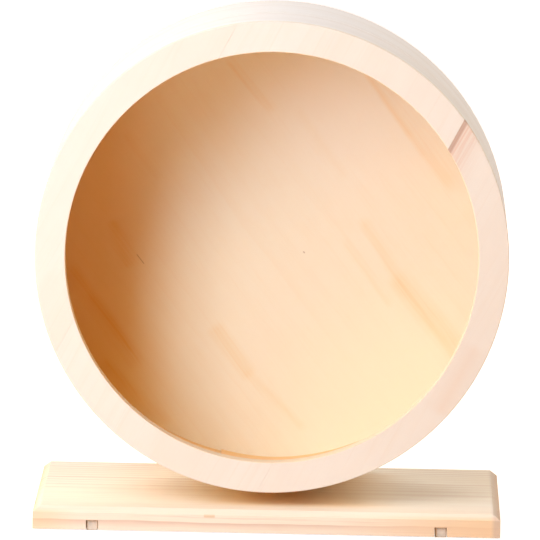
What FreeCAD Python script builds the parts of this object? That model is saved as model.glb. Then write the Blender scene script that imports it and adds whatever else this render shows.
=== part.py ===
"""Wooden exercise wheel for a small rodent.

A shallow drum, open at the front, turns on two ball bearings. The bearings sit on a bolt that stands out from
an upright board at the rear edge of a flat base. Millimetres, +Z up, the open front faces -Y, and the origin
lies under the middle of the base, on the surface that the foot strips stand on.
"""

import FreeCAD
import Part
import os
import Sketcher

# Driving dimensions, in millimetres, degrees and counts

SIZES = {
    # Drum of the wheel
    "wheel_diameter": 210.0,
    "drum_depth": 98.0,
    "rim_width": 13.5,
    "ring_thickness": 9.0,
    "ring_rebate": 4.0,
    "ring_round": 0.4,
    "mouth_round": 0.3,
    "hoop_thickness": 2.0,
    "hoop_ease": 0.4,
    "liner_thickness": 1.0,
    "back_thickness": 10.0,
    "seam_depth": 42.0,
    "seam_gap": 0.3,
    "glue_film": 0.05,
    # Joints of the bent and edge-glued wood, as angles about the axle clockwise from the top
    "liner_joint_angle": 192.6,
    "front_hoop_joint_angle": 160.0,
    "rear_hoop_joint_angle": 205.0,
    "board_line_angle": 27.8,
    "right_line_distance": 44.7,
    "left_line_distance": 63.4,
    "board_line_gap": 0.05,
    # Hub on the back of the drum
    "hub_diameter": 64.0,
    "hub_thickness": 9.0,
    "hub_chamfer": 1.5,
    "hub_screw_circle": 49.0,
    "hub_screw_count": 4,
    "hub_screw_shank": 3.0,
    "hub_screw_head": 6.0,
    "hub_screw_cone": 1.5,
    "hub_screw_length": 14.0,
    "hub_screw_drive": 1.6,
    "retainer_diameter": 38.0,
    "retainer_opening": 18.0,
    "retainer_thickness": 1.2,
    "retainer_screw_circle": 29.0,
    "retainer_screw_count": 4,
    "retainer_screw_shank": 2.2,
    "retainer_screw_head": 4.2,
    "retainer_screw_rise": 1.0,
    "retainer_screw_length": 6.0,
    "retainer_screw_drive": 1.3,
    "drive_depth": 0.7,
    "screw_clearance": 0.05,
    # Two equal ball bearings
    "bearing_bore": 8.0,
    "bearing_outer": 22.0,
    "bearing_width": 7.0,
    "inner_shoulder": 12.0,
    "outer_shoulder": 18.0,
    "ball_diameter": 3.97,
    "ball_circle": 15.0,
    "ball_count": 7,
    "ball_clearance": 0.04,
    "cage_thickness": 1.4,
    "cage_width": 5.2,
    "cage_clearance": 0.1,
    "shield_thickness": 0.3,
    "shield_seat": 0.4,
    "shield_inset": 0.3,
    "shield_gap": 0.25,
    "bearing_fit": 0.02,
    # Axle
    "axle_head_diameter": 12.0,
    "axle_head_height": 2.6,
    "axle_head_space": 0.4,
    "head_recess_diameter": 16.0,
    "axle_chamfer": 0.6,
    "axle_fit": 0.02,
    "axle_hole_clearance": 0.2,
    "axle_end_inset": 0.4,
    "axle_socket": 4.0,
    "axle_socket_depth": 4.0,
    "spacer_diameter": 12.0,
    "retainer_run": 1.8,
    "washer_diameter": 16.0,
    "washer_thickness": 1.6,
    "nut_width": 13.0,
    "nut_height": 4.0,
    "nut_inset": 0.6,
    "nut_well_diameter": 21.0,
    # Stand
    "base_length": 207.0,
    "base_depth": 136.0,
    "base_thickness": 10.0,
    "bevel_width": 3.2,
    "bevel_height": 2.4,
    "wheel_gap": 6.0,
    "upright_width": 76.0,
    "upright_thickness": 12.0,
    "dowel_diameter": 6.0,
    "dowel_length": 25.0,
    "dowel_in_base": 7.0,
    "dowel_spacing": 54.0,
    "dowel_chamfer": 0.8,
    "dowel_clearance": 0.05,
    "stand_screw_shank": 4.0,
    "stand_screw_head": 8.0,
    "stand_screw_cone": 2.4,
    "stand_screw_length": 40.0,
    "stand_screw_tip": 4.0,
    "stand_screw_spacing": 24.0,
    "stand_screw_sink": 0.4,
    "stand_screw_drive": 2.4,
    "stand_drive_depth": 1.6,
    "foot_width": 5.0,
    "foot_height": 4.7,
    "foot_proud": 0.5,
    "foot_inset": 26.4,
    "foot_setback": 1.5,
    "foot_clearance": 0.2,
}

doc = FreeCAD.newDocument("ExerciseWheel")
sheet = doc.addObject("Spreadsheet::Sheet", "Sizes")
for row, (alias, size) in enumerate(SIZES.items(), start=1):
    sheet.set(f"A{row}", alias)
    sheet.set(f"B{row}", str(size))
    sheet.setAlias(f"B{row}", alias)
doc.recompute()

# Derived sizes and places, as expressions of the sheet's cells

WHEEL_RADIUS = "(Sizes.wheel_diameter / 2)"
MOUTH_RADIUS = "(Sizes.wheel_diameter / 2 - Sizes.rim_width)"
HOOP_FRONT = "(Sizes.ring_thickness - Sizes.ring_rebate)"
HOOP_INNER = f"({WHEEL_RADIUS} - Sizes.hoop_thickness)"
LINER_OUTER = f"({HOOP_INNER} - Sizes.glue_film)"
LINER_INNER = f"({LINER_OUTER} - Sizes.liner_thickness)"
REBATE_RADIUS = f"({LINER_INNER} - Sizes.glue_film)"
BACK_FRONT = "(Sizes.drum_depth - Sizes.back_thickness)"

BEARING_RADIUS = "(Sizes.bearing_outer / 2)"
HUB_REAR = "(Sizes.drum_depth + Sizes.hub_thickness)"
REAR_BEARING = f"({HUB_REAR} - Sizes.bearing_width)"
FRONT_BEARING = f"({REAR_BEARING} - Sizes.bearing_width)"
SEAT_RADIUS = f"({BEARING_RADIUS} + Sizes.bearing_fit)"
HEAD_FRONT = f"({FRONT_BEARING} - Sizes.axle_head_height)"
HEAD_RECESS = f"({HEAD_FRONT} - Sizes.axle_head_space)"
RETAINER_REAR = f"({HUB_REAR} + Sizes.retainer_thickness)"
UPRIGHT_FRONT = f"({RETAINER_REAR} + Sizes.retainer_run)"
UPRIGHT_REAR = f"({UPRIGHT_FRONT} + Sizes.upright_thickness)"
NUT_REAR = f"({UPRIGHT_REAR} - Sizes.nut_inset)"
NUT_FRONT = f"({NUT_REAR} - Sizes.nut_height)"
WASHER_FRONT = f"({NUT_FRONT} - Sizes.washer_thickness)"
AXLE_END = f"({UPRIGHT_REAR} - Sizes.axle_end_inset)"
AXLE_RADIUS = "(Sizes.bearing_bore / 2 - Sizes.axle_fit)"
AXLE_HOLE = f"({AXLE_RADIUS} + Sizes.axle_hole_clearance)"

BASE_TOP = "(Sizes.foot_proud + Sizes.base_thickness)"
AXLE_HEIGHT = f"({BASE_TOP} + Sizes.wheel_gap + {WHEEL_RADIUS})"
WHEEL_FRONT = f"(Sizes.base_depth / 2 - {UPRIGHT_REAR})"
UPRIGHT_MIDDLE = "(Sizes.base_depth / 2 - Sizes.upright_thickness / 2)"
FOOT_X = "(Sizes.base_length / 2 - Sizes.foot_inset)"
GROOVE_HALF = "(Sizes.foot_width / 2 + Sizes.foot_clearance)"
GROOVE_DEPTH = "(Sizes.foot_height - Sizes.foot_proud)"

parts = []


def number(expression):
    """Value that an expression of the sheet has now."""
    return float(sheet.evalExpression(expression))


def new_body(label):
    """Empty body that may hold several separate solids, kept as a part of the wheel."""
    body = doc.addObject("PartDesign::Body", label)
    body.AllowCompound = True
    parts.append(body)
    return body


def origin_feature(body, role):
    """Plane or axis of the body's own origin."""
    return next(feature for feature in body.Origin.OriginFeatures if feature.Role == role)


def new_sketch(body, name, plane, lift=None):
    """Sketch on one of the body's origin planes, lifted along its normal by an expression."""
    sketch = body.newObject("Sketcher::SketchObject", name)
    sketch.AttachmentSupport = [(origin_feature(body, plane), "")]
    sketch.MapMode = "FlatFace"
    if lift is not None:
        sketch.setExpression("AttachmentOffset.Base.z", lift)
    return sketch


def pin_point(sketch, geometry, point, place):
    """Tie a point of the sketch to a place given as two expressions."""
    for kind, expression in zip(("DistanceX", "DistanceY"), place):
        index = sketch.addConstraint(Sketcher.Constraint(kind, -1, 1, geometry, point, number(expression)))
        sketch.setExpression(f"Constraints[{index}]", expression)


def draw_outline(sketch, corners):
    """Closed outline of straight lines through corners, each a pair of expressions."""
    first = sketch.GeometryCount
    points = [FreeCAD.Vector(number(across), number(up), 0) for across, up in corners]
    count = len(points)
    for index, point in enumerate(points):
        sketch.addGeometry(Part.LineSegment(point, points[(index + 1) % count]), False)
    for index, corner in enumerate(corners):
        following = first + (index + 1) % count
        sketch.addConstraint(Sketcher.Constraint("Coincident", first + index, 2, following, 1))
        pin_point(sketch, first + index, 1, corner)


def draw_circle(sketch, centre, radius):
    """Circle with its centre and radius given as expressions."""
    middle = FreeCAD.Vector(number(centre[0]), number(centre[1]), 0)
    circle = Part.Circle(middle, FreeCAD.Vector(0, 0, 1), number(radius))
    index = sketch.addGeometry(circle, False)
    pin_point(sketch, index, 3, centre)
    constraint = sketch.addConstraint(Sketcher.Constraint("Radius", index, number(radius)))
    sketch.setExpression(f"Constraints[{constraint}]", radius)


def draw_axis(sketch, start, end):
    """Construction line that a profile away from the origin is turned about."""
    points = [FreeCAD.Vector(number(across), number(up), 0) for across, up in (start, end)]
    index = sketch.addGeometry(Part.LineSegment(*points), True)
    pin_point(sketch, index, 1, start)
    pin_point(sketch, index, 2, end)


def regular_corners(flats, sides):
    """Corners of a regular outline about the origin, with its width across flats as an expression."""
    step = 360.0 / sides
    reach = f"({flats} / 2 / cos({step / 2} deg))"
    turns = [step * (index + 0.5) for index in range(sides)]
    return [(f"{reach} * cos({turn} deg)", f"{reach} * sin({turn} deg)") for turn in turns]


def turn(body, name, corners, axis="H_Axis", axis_line=None, plane="YZ_Plane", cut=False, angle=None):
    """Turn an outline of (along the axis, away from it) corners into a solid, or into a cut."""
    sketch = new_sketch(body, f"{name}Profile", plane)
    if axis_line is not None:
        draw_axis(sketch, *axis_line)
    draw_outline(sketch, corners)
    kind = "PartDesign::Groove" if cut else "PartDesign::Revolution"
    feature = body.newObject(kind, name)
    feature.Profile = sketch
    feature.ReferenceAxis = (sketch, [axis])
    feature.Angle = 360
    if angle is not None:
        feature.setExpression("Angle", angle)
    return feature


def turn_groove(body, name, centre, radius):
    """Ball track cut by turning a circle about the axle."""
    sketch = new_sketch(body, f"{name}Profile", "YZ_Plane")
    draw_circle(sketch, centre, radius)
    feature = body.newObject("PartDesign::Groove", name)
    feature.Profile = sketch
    feature.ReferenceAxis = (sketch, ["H_Axis"])
    feature.Angle = 360
    return feature


def pad(body, name, sketch, length, middle=False, backwards=False):
    """Extrude a sketch by an expression."""
    feature = body.newObject("PartDesign::Pad", name)
    feature.Profile = sketch
    feature.setExpression("Length", length)
    feature.Midplane = middle
    feature.Reversed = backwards
    return feature


def pocket(body, name, sketch, length=None, backwards=False):
    """Cut a sketch to a depth, or right through both ways when no depth is given."""
    feature = body.newObject("PartDesign::Pocket", name)
    feature.Profile = sketch
    feature.Reversed = backwards
    if length is None:
        feature.Type = "ThroughAll"
        feature.Midplane = True
    else:
        feature.setExpression("Length", length)
    return feature


def ring_pattern(body, name, feature, count):
    """Copies of a feature evenly spaced about the axle."""
    pattern = body.newObject("PartDesign::PolarPattern", name)
    pattern.Originals = [feature]
    pattern.Axis = (origin_feature(body, "Y_Axis"), [""])
    pattern.Angle = 360
    pattern.setExpression("Occurrences", count)
    body.Tip = pattern


def mirror_pair(body, name, features):
    """Copies of features on the other side of the object's middle plane."""
    mirrored = body.newObject("PartDesign::Mirrored", name)
    mirrored.Originals = features
    mirrored.MirrorPlane = (origin_feature(body, "YZ_Plane"), [""])
    body.Tip = mirrored


def place(part, across=None, along=None, up=None):
    """Bind a part's place to expressions."""
    for axis, expression in (("x", across), ("y", along), ("z", up)):
        if expression is not None:
            part.setExpression(f"Placement.Base.{axis}", expression)


def place_on_axle(part, joint_angle=None):
    """Place a part drawn from the middle of the wheel's front face, turned about the axle if it has a joint."""
    if joint_angle is not None:
        part.Placement = FreeCAD.Placement(FreeCAD.Vector(), FreeCAD.Rotation(FreeCAD.Vector(0, 1, 0), 1))
        part.setExpression("Placement.Rotation.Angle", f"{joint_angle} * 1 deg")
    place(part, along=WHEEL_FRONT, up=AXLE_HEIGHT)


def eased_corner(depth, reach, depth_sign, reach_sign, size):
    """Corner of a turned outline rounded in three flats, from its radial side to its flat side."""
    corner = []
    for step in range(4):
        back = f"{size} * (1 - sin({30 * step} deg))"
        in_from_edge = f"{size} * (1 - cos({30 * step} deg))"
        corner.append((f"{depth} {depth_sign} {back}", f"{reach} {reach_sign} {in_from_edge}"))
    return corner


# Front ring, cut from a panel of three boards that are glued edge to edge along two slanting lines

LEAN = "(Sizes.board_line_angle * 1 deg)"
LEFT_LINE = "(-Sizes.left_line_distance)"
RIGHT_LINE = "Sizes.right_line_distance"
HALF_LINE = "Sizes.board_line_gap / 2"
BEYOND = "Sizes.wheel_diameter"


def across_boards(distance, run):
    """Point of the panel's face at a distance across the boards and a run along their glue lines."""
    return (
        f"({distance} * cos({LEAN}) + {run} * sin({LEAN}))",
        f"({run} * cos({LEAN}) - {distance} * sin({LEAN}))",
    )


def ring_board(label, cuts):
    """Share of the front ring that is left when the other boards' shares are cut away."""
    body = new_body(label)
    front_outer = eased_corner("0", WHEEL_RADIUS, "+", "-", "Sizes.ring_round")
    front_inner = eased_corner("0", MOUTH_RADIUS, "+", "+", "Sizes.mouth_round")
    rear_inner = eased_corner("Sizes.ring_thickness", MOUTH_RADIUS, "-", "+", "Sizes.mouth_round")
    turn(body, "RingTurned", [
        (HOOP_FRONT, REBATE_RADIUS),
        ("Sizes.ring_thickness", REBATE_RADIUS),
        *reversed(rear_inner),
        *front_inner,
        *reversed(front_outer),
        (HOOP_FRONT, WHEEL_RADIUS),
    ])
    for index, (line, far) in enumerate(cuts):
        sketch = new_sketch(body, f"OtherBoards{index}Outline", "XZ_Plane")
        draw_outline(sketch, [
            across_boards(line, f"(-{BEYOND})"),
            across_boards(far, f"(-{BEYOND})"),
            across_boards(far, BEYOND),
            across_boards(line, BEYOND),
        ])
        pocket(body, f"OtherBoards{index}", sketch)
    place_on_axle(body)


ring_board("front_ring_left_board", [(f"({LEFT_LINE} - {HALF_LINE})", BEYOND)])
ring_board("front_ring_middle_board", [
    (f"({LEFT_LINE} + {HALF_LINE})", f"(-{BEYOND})"),
    (f"({RIGHT_LINE} - {HALF_LINE})", BEYOND),
])
ring_board("front_ring_right_board", [(f"({RIGHT_LINE} + {HALF_LINE})", f"(-{BEYOND})")])

# Hoops of bent wood round the drum, with a seam between them, and the thin liner that the animal runs on


def bent_strip(label, front, rear, inner, outer, joint_angle, ease):
    """Strip of wood bent into a hoop, with its two ends meeting at a butt joint."""
    body = new_body(label)
    turn(body, "Bent", [
        (front, inner),
        (front, f"({outer} - {ease})"),
        (f"({front} + {ease})", outer),
        (f"({rear} - {ease})", outer),
        (rear, f"({outer} - {ease})"),
        (rear, inner),
    ], angle=f"360 deg - Sizes.seam_gap / {outer} * 1 rad")
    place_on_axle(body, joint_angle)


SEAM_HALF = "Sizes.seam_gap / 2"
SEAM_FRONT = f"(Sizes.seam_depth - {SEAM_HALF})"
SEAM_REAR = f"(Sizes.seam_depth + {SEAM_HALF})"
HOOP_EASE = "Sizes.hoop_ease"
LINER_EASE = "(Sizes.liner_thickness / 4)"
bent_strip(
    "front_hoop", HOOP_FRONT, SEAM_FRONT, HOOP_INNER, WHEEL_RADIUS, "Sizes.front_hoop_joint_angle", HOOP_EASE)
bent_strip(
    "rear_hoop", SEAM_REAR, "Sizes.drum_depth", HOOP_INNER, WHEEL_RADIUS, "Sizes.rear_hoop_joint_angle", HOOP_EASE)
bent_strip(
    "track_liner", HOOP_FRONT, BACK_FRONT, LINER_INNER, LINER_OUTER, "Sizes.liner_joint_angle", LINER_EASE)

# Back disc, bored from behind for the front bearing and, deeper, for the head of the axle bolt

HUB_SCREW_RADIUS = "(Sizes.hub_screw_circle / 2)"
HUB_SCREW_FRONT = f"({HUB_REAR} - Sizes.hub_screw_length)"
HUB_HOLE = "(Sizes.hub_screw_shank / 2 + Sizes.screw_clearance)"
HUB_HEAD = "(Sizes.hub_screw_head / 2 + Sizes.screw_clearance)"
HUB_HEAD_FRONT = f"({HUB_REAR} - Sizes.hub_screw_cone)"
HUB_SCREW_AXIS = (("0", HUB_SCREW_RADIUS), (HUB_REAR, HUB_SCREW_RADIUS))

back_disc = new_body("back_disc")
turn(back_disc, "Disc", [
    (BACK_FRONT, "0"),
    (BACK_FRONT, LINER_OUTER),
    ("Sizes.drum_depth", LINER_OUTER),
    ("Sizes.drum_depth", "0"),
])
turn(back_disc, "BearingSeat", [
    (HEAD_RECESS, "0"),
    (HEAD_RECESS, "Sizes.head_recess_diameter / 2"),
    (FRONT_BEARING, "Sizes.head_recess_diameter / 2"),
    (FRONT_BEARING, SEAT_RADIUS),
    ("Sizes.drum_depth", SEAT_RADIUS),
    ("Sizes.drum_depth", "0"),
], cut=True)
disc_hole = turn(back_disc, "ScrewHole", [
    (HUB_SCREW_FRONT, HUB_SCREW_RADIUS),
    (HUB_SCREW_FRONT, f"{HUB_SCREW_RADIUS} + {HUB_HOLE}"),
    ("Sizes.drum_depth", f"{HUB_SCREW_RADIUS} + {HUB_HOLE}"),
    ("Sizes.drum_depth", HUB_SCREW_RADIUS),
], axis="Axis0", axis_line=HUB_SCREW_AXIS, cut=True)
ring_pattern(back_disc, "ScrewHoles", disc_hole, "Sizes.hub_screw_count")
place_on_axle(back_disc)

# Hub block behind the disc, which holds the rear bearing, and its countersunk screws

RETAINER_SCREW_RADIUS = "(Sizes.retainer_screw_circle / 2)"
RETAINER_SCREW_FRONT = f"({RETAINER_REAR} - Sizes.retainer_screw_length)"
RETAINER_HOLE = "(Sizes.retainer_screw_shank / 2 + Sizes.screw_clearance)"
RETAINER_SCREW_AXIS = (("0", RETAINER_SCREW_RADIUS), (HUB_REAR, RETAINER_SCREW_RADIUS))

hub_block = new_body("hub_block")
turn(hub_block, "Block", [
    ("Sizes.drum_depth", SEAT_RADIUS),
    ("Sizes.drum_depth", "Sizes.hub_diameter / 2"),
    (f"{HUB_REAR} - Sizes.hub_chamfer", "Sizes.hub_diameter / 2"),
    (HUB_REAR, "Sizes.hub_diameter / 2 - Sizes.hub_chamfer"),
    (HUB_REAR, SEAT_RADIUS),
])
hub_hole = turn(hub_block, "ScrewHole", [
    ("Sizes.drum_depth", HUB_SCREW_RADIUS),
    ("Sizes.drum_depth", f"{HUB_SCREW_RADIUS} + {HUB_HOLE}"),
    (HUB_HEAD_FRONT, f"{HUB_SCREW_RADIUS} + {HUB_HOLE}"),
    (HUB_REAR, f"{HUB_SCREW_RADIUS} + {HUB_HEAD}"),
    (HUB_REAR, HUB_SCREW_RADIUS),
], axis="Axis0", axis_line=HUB_SCREW_AXIS, cut=True)
ring_pattern(hub_block, "ScrewHoles", hub_hole, "Sizes.hub_screw_count")
retainer_hole = turn(hub_block, "RetainerHole", [
    (RETAINER_SCREW_FRONT, RETAINER_SCREW_RADIUS),
    (RETAINER_SCREW_FRONT, f"{RETAINER_SCREW_RADIUS} + {RETAINER_HOLE}"),
    (HUB_REAR, f"{RETAINER_SCREW_RADIUS} + {RETAINER_HOLE}"),
    (HUB_REAR, RETAINER_SCREW_RADIUS),
], axis="Axis0", axis_line=RETAINER_SCREW_AXIS, cut=True)
ring_pattern(hub_block, "RetainerHoles", retainer_hole, "Sizes.retainer_screw_count")
place_on_axle(hub_block)


def square_drive(body, name, rear, screw_radius, width):
    """Square driving recess in the rear end of a screw that lies along the axle."""
    sketch = new_sketch(body, f"{name}Outline", "XZ_Plane", lift=f"-{rear}")
    corners = regular_corners(width, 4)
    draw_outline(sketch, [(across, f"{screw_radius} + {up}") for across, up in corners])
    return pocket(body, name, sketch, "Sizes.drive_depth", backwards=True)


def pattern_screws(body, turned, drive, count):
    """Ring of equal screws, each with its driving recess."""
    pattern = body.newObject("PartDesign::PolarPattern", "Screws")
    pattern.Originals = [turned, drive]
    pattern.Axis = (origin_feature(body, "Y_Axis"), [""])
    pattern.Angle = 360
    pattern.setExpression("Occurrences", count)
    body.Tip = pattern


hub_screws = new_body("hub_screws")
hub_screw = turn(hub_screws, "Screw", [
    (HUB_SCREW_FRONT, HUB_SCREW_RADIUS),
    (f"{HUB_SCREW_FRONT} + Sizes.hub_screw_shank", f"{HUB_SCREW_RADIUS} + Sizes.hub_screw_shank / 2"),
    (HUB_HEAD_FRONT, f"{HUB_SCREW_RADIUS} + Sizes.hub_screw_shank / 2"),
    (HUB_REAR, f"{HUB_SCREW_RADIUS} + Sizes.hub_screw_head / 2"),
    (HUB_REAR, HUB_SCREW_RADIUS),
], axis="Axis0", axis_line=HUB_SCREW_AXIS)
hub_drive = square_drive(hub_screws, "Drive", HUB_REAR, HUB_SCREW_RADIUS, "Sizes.hub_screw_drive")
pattern_screws(hub_screws, hub_screw, hub_drive, "Sizes.hub_screw_count")
place_on_axle(hub_screws)

# Plate that keeps the bearings in the hub, and its screws

bearing_retainer = new_body("bearing_retainer")
turn(bearing_retainer, "Plate", [
    (HUB_REAR, "Sizes.retainer_opening / 2"),
    (HUB_REAR, "Sizes.retainer_diameter / 2"),
    (RETAINER_REAR, "Sizes.retainer_diameter / 2"),
    (RETAINER_REAR, "Sizes.retainer_opening / 2"),
])
plate_hole = turn(bearing_retainer, "ScrewHole", [
    (HUB_REAR, RETAINER_SCREW_RADIUS),
    (HUB_REAR, f"{RETAINER_SCREW_RADIUS} + {RETAINER_HOLE}"),
    (RETAINER_REAR, f"{RETAINER_SCREW_RADIUS} + {RETAINER_HOLE}"),
    (RETAINER_REAR, RETAINER_SCREW_RADIUS),
], axis="Axis0", axis_line=RETAINER_SCREW_AXIS, cut=True)
ring_pattern(bearing_retainer, "ScrewHoles", plate_hole, "Sizes.retainer_screw_count")
place_on_axle(bearing_retainer)

RETAINER_HEAD_REAR = f"({RETAINER_REAR} + Sizes.retainer_screw_rise)"
retainer_screws = new_body("retainer_screws")
retainer_screw = turn(retainer_screws, "Screw", [
    (RETAINER_SCREW_FRONT, RETAINER_SCREW_RADIUS),
    (f"{RETAINER_SCREW_FRONT} + Sizes.retainer_screw_shank / 2",
     f"{RETAINER_SCREW_RADIUS} + Sizes.retainer_screw_shank / 2"),
    (RETAINER_REAR, f"{RETAINER_SCREW_RADIUS} + Sizes.retainer_screw_shank / 2"),
    (RETAINER_REAR, f"{RETAINER_SCREW_RADIUS} + Sizes.retainer_screw_head / 2"),
    (f"{RETAINER_REAR} + Sizes.retainer_screw_rise / 2",
     f"{RETAINER_SCREW_RADIUS} + Sizes.retainer_screw_head / 2"),
    (RETAINER_HEAD_REAR, f"{RETAINER_SCREW_RADIUS} + Sizes.retainer_screw_shank / 2"),
    (RETAINER_HEAD_REAR, RETAINER_SCREW_RADIUS),
], axis="Axis0", axis_line=RETAINER_SCREW_AXIS)
retainer_drive = square_drive(
    retainer_screws, "Drive", RETAINER_HEAD_REAR, RETAINER_SCREW_RADIUS, "Sizes.retainer_screw_drive")
pattern_screws(retainer_screws, retainer_screw, retainer_drive, "Sizes.retainer_screw_count")
place_on_axle(retainer_screws)

# Ball bearings: rings, shields, cage and balls

TRACK_RADIUS = "(Sizes.ball_diameter / 2 + Sizes.ball_clearance)"
BALL_CIRCLE_RADIUS = "(Sizes.ball_circle / 2)"
SHIELD_OUTER = "(Sizes.outer_shoulder / 2 + Sizes.shield_seat)"
SHIELD_INNER = "(Sizes.inner_shoulder / 2 + Sizes.shield_gap)"


def sphere(body, kind, name, depth, radius):
    """Ball, or ball-shaped cut, at the top of the ball circle."""
    feature = body.newObject(kind, name)
    feature.AttachmentSupport = [(origin_feature(body, "XZ_Plane"), "")]
    feature.MapMode = "FlatFace"
    feature.setExpression("AttachmentOffset.Base.y", BALL_CIRCLE_RADIUS)
    feature.setExpression("AttachmentOffset.Base.z", f"-{depth}")
    feature.setExpression("Radius", radius)
    return feature


def ball_bearing(label, front):
    """Shielded deep-groove ball bearing whose front faces lie at the given depth."""
    rear = f"({front} + Sizes.bearing_width)"
    middle = f"({front} + Sizes.bearing_width / 2)"
    shield_front = f"({front} + Sizes.shield_inset)"
    shield_rear = f"({rear} - Sizes.shield_inset)"
    front_seat = f"({shield_front} + Sizes.shield_thickness)"
    rear_seat = f"({shield_rear} - Sizes.shield_thickness)"

    inner_ring = new_body(f"{label}_inner_ring")
    turn(inner_ring, "Ring", [
        (front, "Sizes.bearing_bore / 2"),
        (front, "Sizes.inner_shoulder / 2"),
        (rear, "Sizes.inner_shoulder / 2"),
        (rear, "Sizes.bearing_bore / 2"),
    ])
    turn_groove(inner_ring, "Track", (middle, BALL_CIRCLE_RADIUS), TRACK_RADIUS)

    outer_ring = new_body(f"{label}_outer_ring")
    turn(outer_ring, "Ring", [
        (front, SHIELD_OUTER),
        (front, BEARING_RADIUS),
        (rear, BEARING_RADIUS),
        (rear, SHIELD_OUTER),
        (rear_seat, SHIELD_OUTER),
        (rear_seat, "Sizes.outer_shoulder / 2"),
        (front_seat, "Sizes.outer_shoulder / 2"),
        (front_seat, SHIELD_OUTER),
    ])
    turn_groove(outer_ring, "Track", (middle, BALL_CIRCLE_RADIUS), TRACK_RADIUS)

    shields = new_body(f"{label}_shields")
    for name, start, end in (("Front", shield_front, front_seat), ("Rear", rear_seat, shield_rear)):
        turn(shields, f"{name}Shield", [
            (start, SHIELD_INNER),
            (start, SHIELD_OUTER),
            (end, SHIELD_OUTER),
            (end, SHIELD_INNER),
        ])

    cage = new_body(f"{label}_cage")
    cage_inner = f"{BALL_CIRCLE_RADIUS} - Sizes.cage_thickness / 2"
    cage_outer = f"{BALL_CIRCLE_RADIUS} + Sizes.cage_thickness / 2"
    turn(cage, "Band", [
        (f"{middle} - Sizes.cage_width / 2", cage_inner),
        (f"{middle} - Sizes.cage_width / 2", cage_outer),
        (f"{middle} + Sizes.cage_width / 2", cage_outer),
        (f"{middle} + Sizes.cage_width / 2", cage_inner),
    ])
    window = sphere(
        cage, "PartDesign::SubtractiveSphere", "Window", middle, "Sizes.ball_diameter / 2 + Sizes.cage_clearance")
    ring_pattern(cage, "Windows", window, "Sizes.ball_count")

    balls = new_body(f"{label}_balls")
    ball = sphere(balls, "PartDesign::AdditiveSphere", "Ball", middle, "Sizes.ball_diameter / 2")
    ring_pattern(balls, "Balls", ball, "Sizes.ball_count")

    for piece in (inner_ring, outer_ring, shields, cage, balls):
        place_on_axle(piece)


ball_bearing("front_bearing", FRONT_BEARING)
ball_bearing("rear_bearing", REAR_BEARING)

# Axle bolt with its head inside the drum's back, and the spacer, washer and nut that clamp it to the upright

axle_bolt = new_body("axle_bolt")
turn(axle_bolt, "Bolt", [
    (HEAD_FRONT, "0"),
    (HEAD_FRONT, "Sizes.axle_head_diameter / 2 - Sizes.axle_chamfer"),
    (f"{HEAD_FRONT} + Sizes.axle_chamfer", "Sizes.axle_head_diameter / 2"),
    (FRONT_BEARING, "Sizes.axle_head_diameter / 2"),
    (FRONT_BEARING, AXLE_RADIUS),
    (f"{AXLE_END} - Sizes.axle_chamfer", AXLE_RADIUS),
    (AXLE_END, f"{AXLE_RADIUS} - Sizes.axle_chamfer"),
    (AXLE_END, "0"),
])
socket_outline = new_sketch(axle_bolt, "SocketOutline", "XZ_Plane", lift=f"-{AXLE_END}")
draw_outline(socket_outline, regular_corners("Sizes.axle_socket", 6))
pocket(axle_bolt, "Socket", socket_outline, "Sizes.axle_socket_depth", backwards=True)
place_on_axle(axle_bolt)

axle_spacer = new_body("axle_spacer")
turn(axle_spacer, "Sleeve", [
    (HUB_REAR, "Sizes.bearing_bore / 2"),
    (HUB_REAR, "Sizes.spacer_diameter / 2"),
    (UPRIGHT_FRONT, "Sizes.spacer_diameter / 2"),
    (UPRIGHT_FRONT, "Sizes.bearing_bore / 2"),
])
place_on_axle(axle_spacer)

axle_washer = new_body("axle_washer")
turn(axle_washer, "Washer", [
    (WASHER_FRONT, AXLE_HOLE),
    (WASHER_FRONT, "Sizes.washer_diameter / 2"),
    (NUT_FRONT, "Sizes.washer_diameter / 2"),
    (NUT_FRONT, AXLE_HOLE),
])
place_on_axle(axle_washer)

axle_nut = new_body("axle_nut")
nut_outline = new_sketch(axle_nut, "NutOutline", "XZ_Plane", lift=f"-{NUT_FRONT}")
draw_outline(nut_outline, regular_corners("Sizes.nut_width", 6))
draw_circle(nut_outline, ("0", "0"), f"{AXLE_RADIUS} + Sizes.axle_fit")
pad(axle_nut, "Nut", nut_outline, "Sizes.nut_height", backwards=True)
place_on_axle(axle_nut)

# Base board: bevelled along the front and both ends, grooved underneath for the foot strips

HALF_LENGTH = "(Sizes.base_length / 2)"
HALF_DEPTH = "(Sizes.base_depth / 2)"
BEVEL_FOOT = "(Sizes.base_thickness - Sizes.bevel_height)"
SCREW_X = "(Sizes.stand_screw_spacing / 2)"
DOWEL_X = "(Sizes.dowel_spacing / 2)"
STAND_HOLE = "(Sizes.stand_screw_shank / 2 + Sizes.screw_clearance)"
STAND_HEAD = "(Sizes.stand_screw_head / 2 + Sizes.screw_clearance)"
DOWEL_HOLE = "(Sizes.dowel_diameter / 2 + Sizes.dowel_clearance)"

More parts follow.
